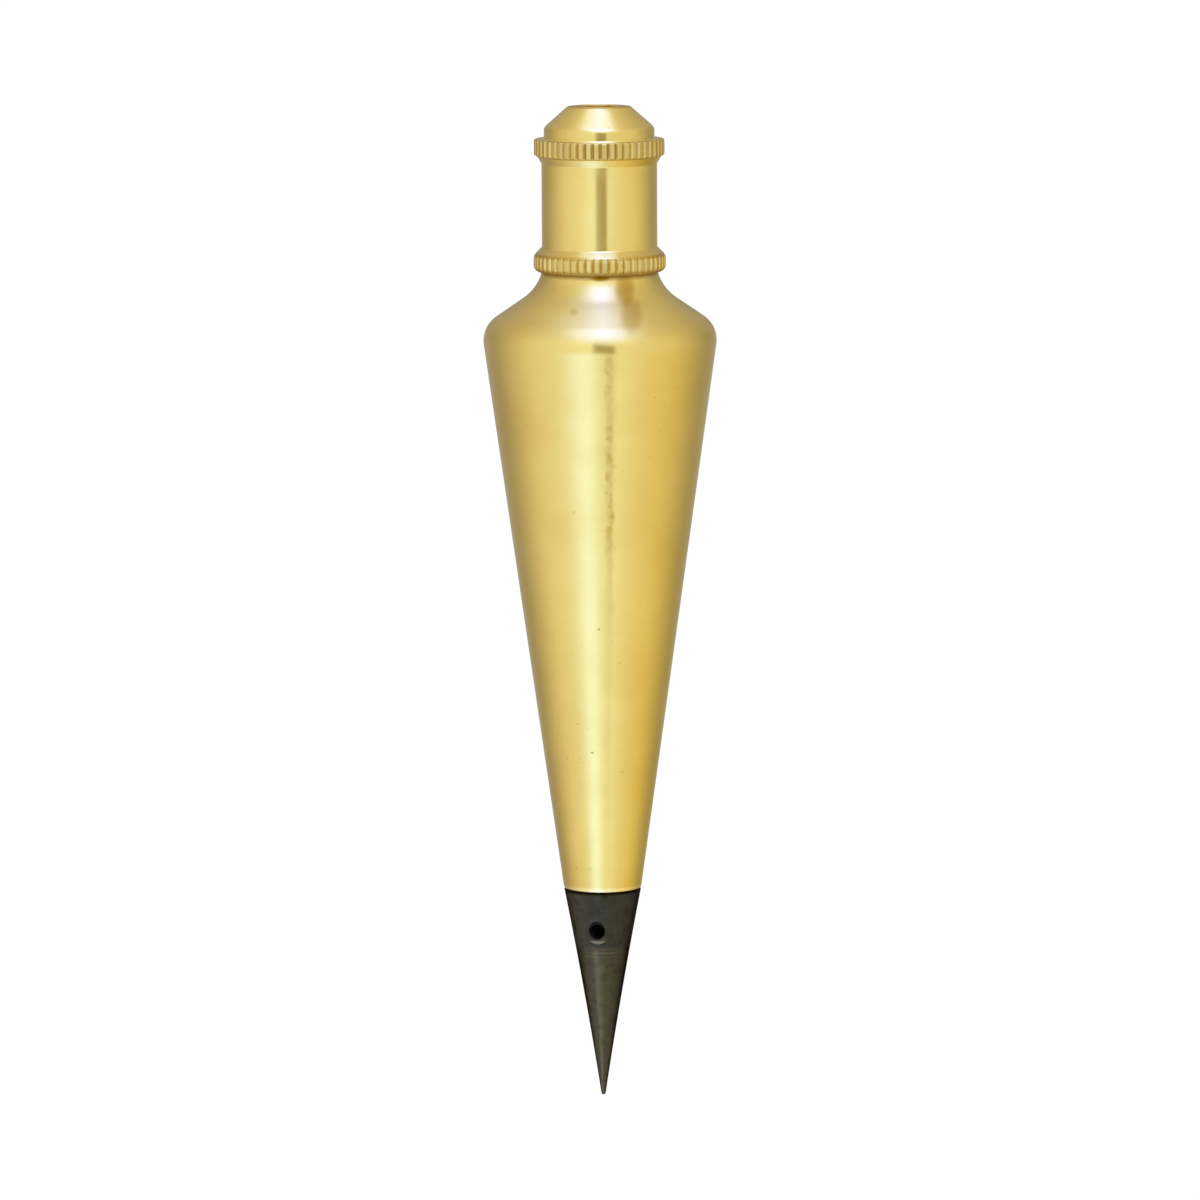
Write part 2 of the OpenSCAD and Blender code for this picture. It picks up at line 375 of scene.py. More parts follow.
body_outline = thread_rows(body_outline, socket_r, socket_end_z, neck_z - MOUTH_CUT, CAP_PITCH)
body_outline = thread_rows(body_outline, stud_hole_r, end_z + MOUTH_CUT, stud_hole_end_z, TIP_PITCH)
angle = np.linspace(0, 2 * np.pi, BODY_TURNS, endpoint=False)[None, :]
radius, height = body_outline[:, :1], body_outline[:, 1:]
bored = tapped(radius, height, socket_r, socket_end_z + RUN_OUT, neck_z, CAP_PITCH, CAP_DEPTH)
bored = tapped(bored, height, stud_hole_r, end_z, stud_hole_end_z - RUN_OUT, TIP_PITCH, TIP_DEPTH)
print(f"body: {bored.shape[0]} rows of {bored.shape[1]} points")

# %% Mark where tarnish stays and where shade is painted, and turn the body
SEAM = 0.6
SEAM_SHADE = 0.6

in_stud_hole = (height > end_z) & (radius < stud_hole_r + MOUTH_CUT / 2)
in_socket = (height < neck_z) & (height > socket_end_z - socket_r) & (radius < socket_r + MOUTH_CUT / 2)
# The seam under the cap is darkened: painted shade of the gap between body and cap.
seam = np.clip(1 - (neck_z - height) / SEAM, 0, 1)
body_grime_and_shade = np.where(in_stud_hole | in_socket, 1.0, SEAM_SHADE * seam)
body_grime_and_shade = np.broadcast_to(body_grime_and_shade, bored.shape).ravel()
body_quads = grid_faces(*bored.shape).reshape(-1, 4)
body = make_piece("bob_body", "body", lathe_points(bored, height, angle), body_quads, body_grime_and_shade)

# %% [markdown]
# ## The cap
#
# The cap is turned and drilled in one piece: a screw below, a knurled ring that seats on the body, a plain
# barrel, a second knurled ring, and a dome with the line hole. Inside is a chamber for the knot.
#
# The knurl is the hardest thing on it to get right. Each groove is a square-edged cut, so its floor and
# flanks follow one formula, and the ring is simply cut down to that surface wherever it stands higher. The
# grooves of both rings lie in line, as one pass of a knurling wheel leaves them.

# %% Outline of the cap
KNURL_COUNT = 51
KNURL_DEPTH = 0.3

foot_h = 2.5
foot_low_round = 1
foot_top_round = 1.45
barrel_r = 17.8 / 2
barrel_len = 12.85
barrel_round = 0.4
grip_r = 20.1 / 2
grip_h = 2.35
grip_round = 0.25
grip_edge = 0.15
grip_under_w = 0.5
grip_under_h = 0.3
grip_slope_h = 1.1
dome_r = 17.05 / 2
dome_foot_h = 1.8
dome_round = 1.1
dome_top_r = 9.8 / 2
dome_edge = 0.4
mouth_round = 0.6
line_hole_end_z = mounts["line_hole"]["pos_m"][2] / MM - mounts["line_hole"]["dims"]["length_mm"] / 2
chamber_r = 9 / 2
chamber_top_z = line_hole_end_z - (chamber_r - line_hole_r) / DRILL_SLOPE
spigot_cut = 0.7
groove_r = spigot_r - 0.6
groove_w = 1.2
foot_top_z = neck_z + foot_h
barrel_z = foot_top_z + (foot_r - barrel_r)
barrel_top_z = barrel_z + barrel_len
grip_under_z = barrel_top_z + grip_slope_h
grip_z = grip_under_z + grip_under_h
dome_z = grip_z + grip_h

cap_outline = eased([
    (chamber_r, spigot_end_z, CRISP),
    (spigot_r - spigot_cut, spigot_end_z, CRISP),
    (spigot_r, spigot_end_z + spigot_cut, CRISP),
    (spigot_r, neck_z - groove_w, CRISP),
    (groove_r, neck_z - groove_w, CRISP),
    (groove_r, neck_z, CRISP),
    (foot_r, neck_z, foot_low_round),
    (foot_r, foot_top_z, foot_top_round),
    (barrel_r, barrel_z, barrel_round),
    (barrel_r, barrel_top_z, barrel_round),
    (grip_r - grip_under_w, grip_under_z, 2 * CRISP),
    (grip_r, grip_z, grip_round),
    (grip_r, dome_z - grip_edge, 2 * CRISP),
    (grip_r - grip_edge, dome_z, CRISP),
    (dome_r, dome_z, dome_edge),
    (dome_r, dome_z + dome_foot_h, dome_round),
    (dome_top_r, cap_top_z, dome_edge),
    (line_hole_r, cap_top_z, mouth_round),
    (line_hole_r, line_hole_end_z, CRISP),
    (chamber_r, chamber_top_z, CRISP),
])
cap_outline = thread_rows(cap_outline, spigot_r, spigot_end_z + spigot_cut, neck_z - groove_w, CAP_PITCH)
print(f"cap outline: {len(cap_outline)} rows, knurl pitch {2 * np.pi * foot_r / KNURL_COUNT:.2f} mm")

# %% Knurl the rings and cut the thread
# The columns of one groove and the tooth beside it, in half pitches from the groove's middle
TOOTH = np.array([-1, -0.57, -0.46, -0.06, 0, 0.06, 0.46, 0.57])


def knurled(radius, off_groove, ring_r):
    """Radius cut down to a square groove whose edge points at the axis.

    A flank leaves the groove's floor at 45 degrees, so at an angle off the groove's middle its radius is the
    floor's, divided by the cosine of that angle less its sine.
    """
    flank = (ring_r - KNURL_DEPTH) / (np.cos(off_groove) - np.abs(np.sin(off_groove)))
    return np.minimum(radius, flank)


tooth_angle = 2 * np.pi / KNURL_COUNT
off_groove = np.tile(TOOTH * tooth_angle / 2, KNURL_COUNT)[None, :]
angle = np.repeat(np.arange(KNURL_COUNT) * tooth_angle, len(TOOTH))[None, :] + off_groove
radius, height = cap_outline[:, :1], cap_outline[:, 1:]
on_screw = (height < neck_z - groove_w + CRISP) & (radius > groove_r - CRISP)
cut = thread_depth(angle, height, CAP_PITCH, CAP_DEPTH)
ring_r = np.where(height < (neck_z + grip_z) / 2, foot_r, grip_r)
turned_r = np.where(on_screw, np.minimum(radius, spigot_r - cut), knurled(radius, off_groove, ring_r))
print(f"knurl: {KNURL_COUNT} grooves, {(radius - turned_r)[~on_screw[:, 0]].max():.2f} mm deep")

# %% Mark where tarnish stays and where shade is painted, and turn the cap
GROOVE_GRIME = 0.1
FOOT_GRIME = 0.22
GRIP_GRIME = 0.34
CAP_SEAM_SHADE = 0.9
INSIDE_GRIME = 0.7
TOP_SHADE = 0.5

inside = (radius < chamber_r + CRISP) & (height < cap_top_z - mouth_round)
groove = GROOVE_GRIME * np.clip((radius - turned_r) / KNURL_DEPTH, 0, 1)
ring_grime = np.where(ring_r == foot_r, FOOT_GRIME, GRIP_GRIME)
face = ring_grime * np.clip(2 - 2 * (ring_r - radius) / KNURL_DEPTH, 0, 1)
# The foot ring's underside at the seam is darkened as painted shade of the gap. The line hole's mouth and the
# top flat are darkened as painted shade that dims their reflections.
seam = CAP_SEAM_SHADE * np.clip(1 - (height - neck_z) / (2 * SEAM), 0, 1)
mouth = (height > cap_top_z - mouth_round) & (radius < line_hole_r + mouth_round)
top_flat = (height > cap_top_z - CRISP) & (radius < dome_top_r)
cap_grime_and_shade = np.maximum(groove + face, seam)
cap_grime_and_shade = np.where(inside | (height < neck_z), np.maximum(cap_grime_and_shade, INSIDE_GRIME), cap_grime_and_shade)
cap_grime_and_shade = np.where(mouth, 1, np.where(top_flat, TOP_SHADE, cap_grime_and_shade)).ravel()
cap_quads = grid_faces(*turned_r.shape, close_rows=True).reshape(-1, 4)
cap = make_piece("screw_cap", "cap", lathe_points(turned_r, height, angle), cap_quads, cap_grime_and_shade)

# %% [markdown]
# ## The tip
#
# The tip is a steel cone with a screw on top and a hole straight across it, for a pin that turns it out.
# A hole in a cone is awkward on a grid of rings. A boolean would cut it, but it leaves thin triangles that
# show on shiny metal. Here a window is left open in the grid on each side, and a patch fills it: its outer
# edge is the window's edge, its inner edge is the hole's rim, and the points between lie on the cone.

# %% Outline of the tip
TIP_TURNS = 192
WINDOW = 24
BAND_ROWS = 24
BAND = 2.6
CONE_ROWS = 30

tip_r = 12 / 2
tip_hollow = 0.18
tip_edge = 0.25
blunt_r = 0.3
cone_start_z = point_z + 4 * blunt_r
stud_groove_r = stud_r - 0.5
stud_groove_w = 1
stud_cut = 0.6


def cone_radius(height):
    """Radius of the tip's cone at a height.

    It grows in step with the height, less a small hollow that is deepest halfway and none at both ends.
    """
    share = (height - point_z) / (end_z - point_z)
    return blunt_r + (tip_r - blunt_r) * share - 4 * tip_hollow * share * (1 - share)


band = np.linspace(pin_hole_z - BAND, pin_hole_z + BAND, BAND_ROWS + 1)
below_band = np.linspace(cone_start_z, band[0], CONE_ROWS)[:-1]
cone_rows = np.concatenate([below_band, band])
cone_corners = np.stack([cone_radius(cone_rows), cone_rows, 0 * cone_rows], axis=1)
tip_outline = eased([
    (0, point_z, 0),
    (blunt_r, point_z, blunt_r),
    *cone_corners,
    (cone_radius(end_z - tip_edge), end_z - tip_edge, CRISP),
    (tip_r - tip_edge, end_z, CRISP),
    (stud_groove_r, end_z, CRISP),
    (stud_groove_r, end_z + stud_groove_w, CRISP),
    (stud_r, end_z + stud_groove_w, CRISP),
    (stud_r, stud_end_z - stud_cut, CRISP),
    (stud_r - stud_cut, stud_end_z, CRISP),
    (0, stud_end_z, 0),
])
tip_outline = thread_rows(tip_outline, stud_r, end_z + stud_groove_w, stud_end_z - stud_cut, TIP_PITCH)
band_start = np.searchsorted(tip_outline[:, 1], band[0] - TINY)
print(f"tip outline: {len(tip_outline)} rows, {2 * tip_r:.1f} mm across, {end_z - point_z:.1f} mm long")

# %% Edge of a window and rim of the hole
SINK = 0.25
RIM_PASSES = 6

window_angle = 2 * np.pi / TIP_TURNS * WINDOW
across = np.linspace(-window_angle, window_angle, 2 * WINDOW + 1)[:-1]
upward = band[:-1]
frame_angle = np.concatenate([
    across,
    np.full(BAND_ROWS, window_angle),
    -across,
    np.full(BAND_ROWS, -window_angle),
])
frame_height = np.concatenate([
    np.full(2 * WINDOW, band[0]),
    upward,
    np.full(2 * WINDOW, band[-1]),
    2 * pin_hole_z - upward,
])
quarter = np.pi / 2
rim_angle = np.concatenate([
    np.linspace(start, start + quarter, count, endpoint=False)
    for start, count in zip(quarter * np.array([-1.5, -0.5, 0.5, 1.5]), [2 * WINDOW, BAND_ROWS] * 2)
])

# The countersink is wider where the cone is fuller, so its rim is found in a few passes
bore_half = cone_radius(pin_hole_z) - SINK
rim_r = np.full_like(rim_angle, pin_hole_r + SINK)
for _ in range(RIM_PASSES):
    rim_height = pin_hole_z + rim_r * np.sin(rim_angle)
    rim_depth = np.sqrt(cone_radius(rim_height) ** 2 - (rim_r * np.cos(rim_angle)) ** 2)
    rim_r = pin_hole_r + rim_depth - bore_half
rim_turn = np.arcsin(rim_r * np.cos(rim_angle) / cone_radius(rim_height))
print(f"pin hole: {2 * pin_hole_r:.1f} mm, rim {2 * rim_r.min():.2f} to {2 * rim_r.max():.2f} mm")

# %% Patch between the two
PATCH_STEPS = np.array([0, 0.015, 0.05, 0.12, 0.25, 0.45, 0.7, 1])

steps = PATCH_STEPS[:, None]
patch_turn = rim_turn + (frame_angle - rim_turn) * steps
patch_height = rim_height + (frame_height - rim_height) * steps
patch_r = cone_radius(patch_height)
patch = np.stack([patch_r * np.sin(patch_turn), -patch_r * np.cos(patch_turn), patch_height], axis=-1)
print(f"patch: {patch.shape[0]} rings of {patch.shape[1]} points")

# %% Turn the tip and open the windows
angle = np.linspace(0, 2 * np.pi, TIP_TURNS, endpoint=False)[None, :]
radius, height = tip_outline[:, :1], tip_outline[:, 1:]
on_stud = (height > end_z + stud_groove_w - CRISP) & (radius > stud_groove_r - CRISP)
cut = thread_depth(angle, height, TIP_PITCH, TIP_DEPTH)
tip_radius = np.where(on_stud, np.minimum(radius, stud_r - cut), np.broadcast_to(radius, cut.shape))
tip_points = lathe_points(tip_radius, height, angle)
turned_quads = grid_faces(*tip_radius.shape)
for middle_column in (TIP_TURNS // 4, 3 * TIP_TURNS // 4):
    columns = slice(middle_column - WINDOW, middle_column + WINDOW)
    turned_quads[band_start:band_start + BAND_ROWS, columns] = 0
print(f"windows: {(~turned_quads.any(axis=-1)).sum()} quads taken out")

# %% Join the turned grid, the patches and the bore
BORE_ROWS = 9
LIP_SHARE = 0.4
LIP_SHADE = 0.9
SEAT_SHADE = 0.7
MIRROR_Y = np.array([1, -1, 1])

depths = np.linspace(-bore_half, bore_half, BORE_ROWS)[:, None]
bore_x = np.broadcast_to(pin_hole_r * np.cos(rim_angle), (BORE_ROWS, len(rim_angle)))
bore_height = np.broadcast_to(pin_hole_z + pin_hole_r * np.sin(rim_angle), bore_x.shape)
bore = np.stack([bore_x, np.broadcast_to(depths, bore_x.shape), bore_height], axis=-1)
lip = patch[:1] + (bore[:1] - patch[:1]) * LIP_SHARE
passage = np.concatenate([patch[:1], lip, bore, lip * MIRROR_Y, patch[:1] * MIRROR_Y])

grids = [patch, patch * MIRROR_Y, passage]
starts = len(tip_points) + np.cumsum([0] + [grid.shape[0] * grid.shape[1] for grid in grids])
patch_quads = [grid_faces(*grid.shape[:2], first=start) for grid, start in zip(grids, starts)]
patch_quads[0] = patch_quads[0][..., ::-1]
tip_quads = np.concatenate([quads.reshape(-1, 4) for quads in [turned_quads, *patch_quads]])
tip_quads = tip_quads[tip_quads.any(axis=1)]
tip_points = np.concatenate([tip_points] + [grid.reshape(-1, 3) for grid in grids])
# The bore, its inner lip and the seat next to the brass are marked for painted shade.
passage_shade = np.ones(len(passage))
passage_shade[[0, 1, -2, -1]] = 0, LIP_SHADE, LIP_SHADE, 0
in_bore = np.concatenate([np.zeros(starts[2]), np.repeat(passage_shade, len(rim_angle))])
tip_shade = np.maximum(in_bore, np.where(tip_points[:, 2] > end_z - tip_edge, SEAT_SHADE, 0))
tip = make_piece("steel_tip", "tip", tip_points, tip_quads, tip_shade)

# %% [markdown]
# ## Writing shaders as formulas
#
# A node tree is a formula drawn as a diagram. The small class below lets it be written as a formula
# again: each value stands for a socket, arithmetic on values adds Math nodes, and every other node comes
# from one method that takes its type, its settings and its inputs.

# %% One class for sockets
class Wire:
    """An output socket in a node tree, or the tree itself while it has no socket yet."""

    def __init__(self, tree, socket=None):
        self.tree = tree
        self.socket = socket

    def node(self, kind, settings=None, inputs=None, output=0):
        """Adds a node: settings first, then numbers or wires for its inputs. Returns one of its outputs."""
        node = self.tree.nodes.new(kind)
        for key, value in (settings or {}).items():
            setattr(node, key, value)
        for key, value in (inputs or {}).items():
            self.plug(node, key, value)
        if isinstance(output, str):
            output = [socket.identifier for socket in node.outputs].index(output)
        return Wire(self.tree, node.outputs[output]) if node.outputs else None

    def plug(self, node, key, value):
        """Links a wire to an input, or sets a number or colour on it. A key is an index or an identifier."""
        if isinstance(key, str):
            key = [socket.identifier for socket in node.inputs].index(key)
        if isinstance(value, Wire):
            self.tree.links.new(value.socket, node.inputs[key])
        else:
            node.inputs[key].default_value = value

    def math(self, operation, first, second):
        """A Math node on two values."""
        return self.node("ShaderNodeMath", {"operation": operation}, {0: first, 1: second})

    def __add__(self, other):
        return self.math("ADD", self, other)

    __radd__ = __add__

    def __sub__(self, other):
        return self.math("SUBTRACT", self, other)

    def __rsub__(self, other):
        return self.math("SUBTRACT", other, self)

    def __mul__(self, other):
        return self.math("MULTIPLY", self, other)

    __rmul__ = __mul__

    def __truediv__(self, other):
        return self.math("DIVIDE", self, other)

    def __pow__(self, other):
        return self.math("POWER", self, other)

    def clamp(self):
        """The value held between 0 and 1."""
        return self.node("ShaderNodeClamp", {}, {0: self})

    def between(self, low, high):
        """0 below low, 1 above high, and a smooth ramp between."""
        settings = {"interpolation_type": "SMOOTHSTEP"}
        return self.node("ShaderNodeMapRange", settings, {"Value": self, "From Min": low, "From Max": high})

    def within(self, low, high, low_fade, high_fade):
        """0 outside low and high, 1 inside, with a smooth ramp as wide as its fade at each end."""
        return self.between(low, low + low_fade) * (1 - self.between(high - high_fade, high))

    def blend(self, first, second):
        """A colour mixed from first to second as this value goes from 0 to 1."""
        inputs = {"Factor_Float": self, "A_Color": first, "B_Color": second}
        return self.node("ShaderNodeMix", {"data_type": "RGBA"}, inputs, "Result_Color")


def new_material(name):
    """An empty material and the wire that stands for its tree."""
    material = bpy.data.materials.new(name)
    material.use_nodes = True
    material.node_tree.nodes.clear()
    return material, Wire(material.node_tree)


def finish_material(tree, shader):
    """Joins a shader to the material's output."""
    tree.node("ShaderNodeOutputMaterial", {}, {"Surface": shader})


# %% [markdown]
# ## Turned metal
#
# A lathe leaves rings. A picture of scratches wrapped round would show a seam, so a formula draws them.
# Along one ring the radius and the height stay the same, and noise that reads those two numbers draws fine
# lines right round any turned face. The direction round the axis goes in only slightly, as a cosine and a
# sine, so the lines fade in and out.
#
# The lines also spread a reflection across themselves. That is what Anisotropic does with Blender's own
# tangent, and a quarter turn sets it across the lines.

# %% Coordinates of a turned surface
PER_MM = 1 / MM
ON_AXIS = 1e-12
FRONT = np.radians(11.3)


def turned_coordinates(tree):
    """Object coordinates, radius and height in millimetres, and the direction round the axis, as wires."""
    place = tree.node("ShaderNodeTexCoord", output="Object")
    split = tree.node("ShaderNodeSeparateXYZ", {}, {0: place}).socket.node
    x, y, z = (Wire(tree.tree, socket) for socket in split.outputs)
    radius = (x * x + y * y + ON_AXIS) ** 0.5
    return place, radius * PER_MM, z * PER_MM, x / radius, y / radius


def lathe_lines(tree, turned, lines_per_mm, drift):
    """Noise from 0 to 1 that is nearly constant along each turned ring."""
    radius, level, cosine, sine = turned
    axes = {0: radius * lines_per_mm, 1: level * lines_per_mm, 2: cosine * drift}
    ring = tree.node("ShaderNodeCombineXYZ", {}, axes)
    inputs = {"Vector": ring, "W": sine * drift, "Scale": 1.0, "Detail": 2.0, "Roughness": 0.6}
    return tree.node("ShaderNodeTexNoise", {"noise_dimensions": "4D"}, inputs)


def cloudy(tree, place, size_mm, detail=3.0):
    """Soft noise from 0 to 1, with blotches of about that size."""
    inputs = {"Vector": place, "Scale": PER_MM / size_mm, "Detail": detail, "Roughness": 0.55}
    return tree.node("ShaderNodeTexNoise", {}, inputs)


def facing_and_aside(turned):
    """How far a point faces front, from 1 to -1, and its way to the right of the axis in millimetres."""
    radius, _, cosine, sine = turned
    facing = cosine * np.sin(FRONT) - sine * np.cos(FRONT)
    return facing, (cosine * np.cos(FRONT) + sine * np.sin(FRONT)) * radius


def spot(aside, above, width, tall):
    """A soft oval mark, 1 in its middle and 0 outside.

    The ways aside and above its middle are divided by half its size, and 1 less their squares is smoothed.
    """
    aside = aside / width
    above = above / tall
    return (1 - aside * aside - above * above).between(0, 1)


# %% Marks, grime and the metal shader
FRONT_FADE = 0.2
RELIEF = 0.02
ACROSS_LINES = 0.25


def marked(aside, level, mark):
    """One dark mark from a list's row: its way aside, level, half width, half height and strength."""
    mark_aside, mark_level, width, tall, strength = mark
    return strength * spot(aside - mark_aside, level - mark_level, width, tall)


def grime_and_shade_of(tree):
    """The tarnish and painted shade that each mesh carries, from 0 to 1."""
    return tree.node("ShaderNodeAttribute", {"attribute_name": "grime"}, output="Fac")


def metal_shader(tree, colour, roughness, relief, bump, grain, extra=None):
    """Metal whose normal follows a relief, and whose grain spreads reflections across the turning lines."""
    inputs = {"Strength": bump, "Distance": RELIEF * MM, "Height": relief}
    normal = tree.node("ShaderNodeBump", {}, inputs)
    return tree.node("ShaderNodeBsdfPrincipled", {}, {
        "Base Color": colour,
        "Metallic": 1.0,
        "Roughness": roughness,
        "Anisotropic": grain,
        "Anisotropic Rotation": ACROSS_LINES,
        "Normal": normal,
        **(extra or {}),
    })


# %% [markdown]
# ## Brass
#
# The brass is polished but handled: bright, with fine turning lines and a faint clouding. The edge next to
# the steel is paler, a painted highlight. The shoulder is duller from the fingers, and tarnish stays in the
# knurl and the holes. Painted shade darkens the seam, the top flat, the line hole's mouth and the foot ring's
# slope and top edge, where it dims their reflections. On the front are painted shade under the foot ring,
# dark smudges on the shoulder, two dark specks and a trail of small spots down the taper.
#
# On a metal it is the reflection that has the colour. So it goes to Base Color with Metallic at 1, and dirt,
# painted shade and a painted highlight are mixed into it.

# %% Brass colours, marks and bands
BRASS = (0.78, 0.6, 0.2, 1)
BRASS_WARM = (0.72, 0.52, 0.15, 1)
BRASS_EDGE_HIGHLIGHT = (0.9, 0.74, 0.38, 1)
TARNISH_AND_SHADE = (0.42, 0.21, 0.005, 1)
LIP = 0.9

# Dark marks: painted shade under the foot ring first, then smudges on the shoulder and two specks.
# Each has its way aside, level, half width, half height and strength
BRASS_MARKS = [
    (0.1, neck_z - 0.3, 1.8, 0.6, 1.0),
    (3.8, neck_z - 2.0, 1.9, 2.8, 0.7),
    (4.8, neck_z - 5.6, 2.1, 3.0, 0.5),
    (-4.0, neck_z - 5.1, 0.9, 0.6, 0.35),
    (-0.4, -76.9, 0.3, 0.2, 0.9),
    (-1.5, -96.5, 0.35, 0.2, 0.9),
]
TRAIL_ASIDE = 1.3
TRAIL_HALF = 0.75
TRAIL_WANDER = 1.6
DOTS_FADE = (-70, -60)

# Bands: lowest and highest level, then how far each end fades
TRAIL = (-82, -33, 22, 2)
GRIPPED = (neck_z - 10, neck_z - 0.6, 1.8, 1.8)
FOOT_SLOPE = (foot_top_z - 0.3, barrel_z, 0.3, 0.2)
FOOT_EDGE = (foot_top_z - 0.2, foot_top_z + 0.55, 0.25, 0.25)
print(f"brass: {len(BRASS_MARKS)} marks, gripped over {GRIPPED[1] - GRIPPED[0]:.1f} mm")

# %% Brass material
def make_brass():
    """Polished, handled brass."""
    material, tree = new_material("polished_brass")
    place, *turned = turned_coordinates(tree)
    level = turned[1]
    facing, aside = facing_and_aside(turned)
    grime = grime_and_shade_of(tree)
    fine = lathe_lines(tree, turned, lines_per_mm=5.0, drift=0.5)
    coarse = lathe_lines(tree, turned, lines_per_mm=1.2, drift=0.8)
    clouds = cloudy(tree, place, size_mm=14)
    smears = cloudy(tree, place, size_mm=4)
    specks = cloudy(tree, place, size_mm=0.7, detail=1.0).between(0.72, 0.78) * clouds.between(0.45, 0.6)

    warm = (clouds.between(0.35, 0.7) * 0.6 + coarse * 0.25).clamp()
    colour = warm.blend(BRASS, BRASS_WARM)
    # The lower edge next to the steel is lightened: a painted highlight on its round.
    lip = (end_z + LIP - level).between(0, LIP / 2)
    colour = (lip * 0.7).blend(colour, BRASS_EDGE_HIGHLIGHT)
    # Specks are tarnish. The per-mesh value holds tarnish in the holes and the knurl, and painted shade at
    # the seam, on the top flat and in the line hole's mouth.
    colour = (specks * 0.45 + grime * 0.8).clamp().blend(colour, TARNISH_AND_SHADE)

    wander = (cloudy(tree, place, size_mm=2.5) - 0.5) * TRAIL_WANDER
    trail = spot(aside - TRAIL_ASIDE + wander, 0, TRAIL_HALF, 1) * level.within(*TRAIL)
    dots = cloudy(tree, place, size_mm=1.7).between(0.46, 0.66) * level.between(*DOTS_FADE)
    marks_and_shade = trail * (0.16 + 0.34 * dots)
    # The first mark, under the foot ring, is painted shade. The others are dark smudges and specks.
    for mark in BRASS_MARKS:
        marks_and_shade = marks_and_shade + marked(aside, level, mark)
    colour = (marks_and_shade * facing.between(0, FRONT_FADE)).clamp().blend(colour, TARNISH_AND_SHADE)

    gripped = level.within(*GRIPPED)
    slope = level.within(*FOOT_SLOPE)
    edge = level.within(*FOOT_EDGE)
    # The foot ring's slope and top edge are darkened: painted shade that dims their highlights.
    colour = (slope * 0.16 + edge * 0.36).blend(colour, TARNISH_AND_SHADE)
    worn = 0.17 * gripped - 0.08 * slope + 0.1 * edge
    roughness = 0.17 + 0.05 * fine + 0.06 * smears.between(0.4, 0.7) + 0.7 * grime + worn
    relief = fine * 0.7 + coarse * 0.3
    finish_material(tree, metal_shader(tree, colour, roughness, relief, bump=0.12, grain=0.85))
    return material


brass = make_brass()
print(f"{brass.name}: {len(brass.node_tree.nodes)} nodes")

# %% [markdown]
# ## Blackened steel
#
# The tip is hardened steel with a thin black oxide, oiled. Black paint would be a dark surface under a clear
# gloss. Oxide still mirrors as metal does, only weakly, so it is a metal with a low colour.
#
# It is thick and dull in a collar round the pin hole. Below, it is greener near the point, and fine scratches
# lie where the collar ends. A lighter brown stripe down the front is a painted highlight where the low streak
# reflects, and a narrower stripe facing the camera is warmer. The left edge is paler and the right cooler, as
# painted reflections. A pale crescent under the hole is a painted glint, the bore and the joint's dark line
# are painted shade, and a dark blot sits at the joint.

# %% Steel colours and places
OXIDE = (0.06, 0.05, 0.034, 1)
OXIDE_BROWN = (0.072, 0.056, 0.034, 1)
OXIDE_GREEN = (0.063, 0.059, 0.036, 1)
OXIDE_STREAK_HIGHLIGHT = (0.112, 0.081, 0.037, 1)
OXIDE_FACING = (0.07, 0.05, 0.012, 1)
OXIDE_THICK = (0.05, 0.042, 0.026, 1)
OXIDE_PALE_AND_SHEEN = (0.088, 0.082, 0.061, 1)
OXIDE_COOL_SHEEN = (0.058, 0.055, 0.062, 1)
OXIDE_DARK = (0.028, 0.024, 0.018, 1)
JOINT_DARK = (0.025, 0.016, 0.003, 1)
BARE_STEEL_AND_GLINT = (0.24, 0.2, 0.13, 1)
HOLE_AND_SEAT_SHADE = (0.02, 0.016, 0.013, 1)
STEEL_GLANCE = (0.3, 0.28, 0.24, 1)

COLLAR_END_Z = pin_hole_z - 2.9
COLLAR_WAVE = 3
GREEN_FROM = (3.5, 6.5)
SIDE_FADE = (0.3, 0.8)
CRESCENT_GLINT = (1.35, 2.1, 0.15, 0.4)
CRESCENT_GLINT_DROP = (1.2, 1.7)
SCRATCHED = (-2.5, 2.5, 2, 2)
JOINT = 0.5
JOINT_BLOT = (0.3, end_z - 0.6, 0.8, 0.4, 0.8)
print(f"collar: {end_z - COLLAR_END_Z:.1f} mm tall")

